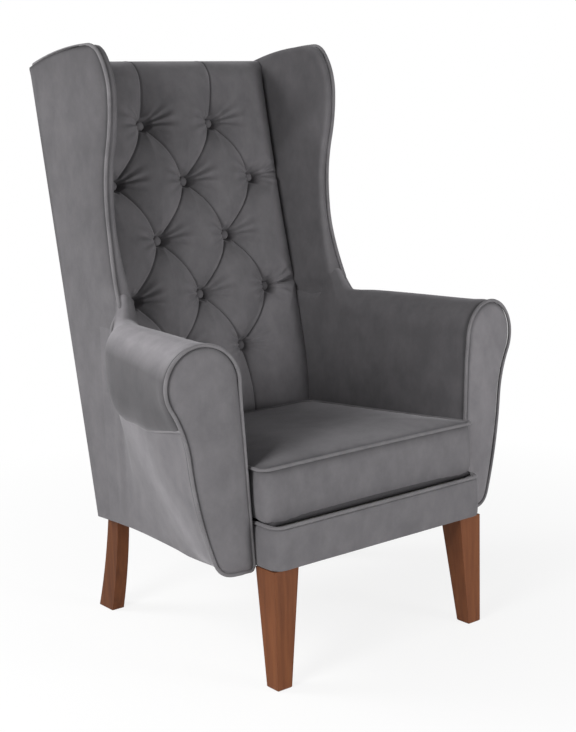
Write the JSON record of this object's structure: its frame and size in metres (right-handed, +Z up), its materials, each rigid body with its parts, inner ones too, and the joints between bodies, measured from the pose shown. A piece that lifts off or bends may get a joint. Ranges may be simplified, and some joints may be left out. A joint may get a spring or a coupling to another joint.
{
  "type": "wingback armchair",
  "caption": "High-backed wing armchair with rolled arms, a deep-buttoned tufted back, a loose boxed seat cushion and tapered wooden legs.",
  "frame": {"origin": "centre of the bounding box at floor level, under the seat", "axes": "+Z up, front towards -Y, +X to the right seen from the front"},
  "size_m": [0.8232, 0.716, 1.12],
  "materials": {
    "velvet": "soft pile",
    "leg_wood": "satin stain",
    "frame_wood": "sawn",
    "plywood": "sanded",
    "hardboard": "smooth",
    "steel": "bright",
    "felt": "needled",
    "deck_cloth": "plain weave",
    "dust_cloth": "non-woven"
  },
  "bodies": {
    "chair": {"arm_base_rail_left": "frame_wood", "arm_base_rail_right": "frame_wood", "arm_board_left": "plywood", "arm_board_right": "plywood", "arm_facing_left": "velvet", "arm_facing_right": "velvet", "arm_front_board_left": "plywood", "arm_front_board_right": "plywood", "arm_roll_left": "velvet", "arm_roll_right": "velvet", "arm_top_rail_left": "plywood", "arm_top_rail_right": "plywood", "back_board": "hardboard", "back_lower_rail": "frame_wood", "back_middle_rail": "frame_wood", "back_post_left": "leg_wood", "back_post_right": "leg_wood", "back_top_rail": "frame_wood", "border_welt": "velvet", "button_ties": "felt", "corner_blocks": "frame_wood", "corner_screws": "steel", "dust_cover": "dust_cloth", "facing_welt_left": "velvet", "facing_welt_right": "velvet", "front_border": "velvet", "front_leg_left": "leg_wood", "front_leg_right": "leg_wood", "front_seat_rail": "frame_wood", "hanger_bolts": "steel", "inside_arm_pad_left": "velvet", "inside_arm_pad_right": "velvet", "inside_back_pad": "velvet", "outside_arm_panel_left": "velvet", "outside_arm_panel_right": "velvet", "outside_back_panel": "velvet", "outside_wing_panel_left": "velvet", "outside_wing_panel_right": "velvet", "rear_seat_rail": "frame_wood", "seat_deck_pad": "deck_cloth", "seat_springs": "steel", "side_seat_rail_left": "frame_wood", "side_seat_rail_right": "frame_wood", "spring_clips": "steel", "spring_insulator": "felt", "threaded_inserts": "steel", "tie_washers": "steel", "tuft_buttons": "velvet", "wing_board_left": "plywood", "wing_board_right": "plywood", "wing_pad_left": "velvet", "wing_pad_right": "velvet", "wing_welt_left": "velvet", "wing_welt_right": "velvet"},
    "cushion": {"seat_cushion": "velvet", "cushion_welt": "velvet"}
  },
  "joints": [
    {"name": "cushion_lift", "type": "slide", "parent": "chair", "child": "cushion", "axis": [0, 0, 1], "range_m": [0, 0.35]}
  ]
}
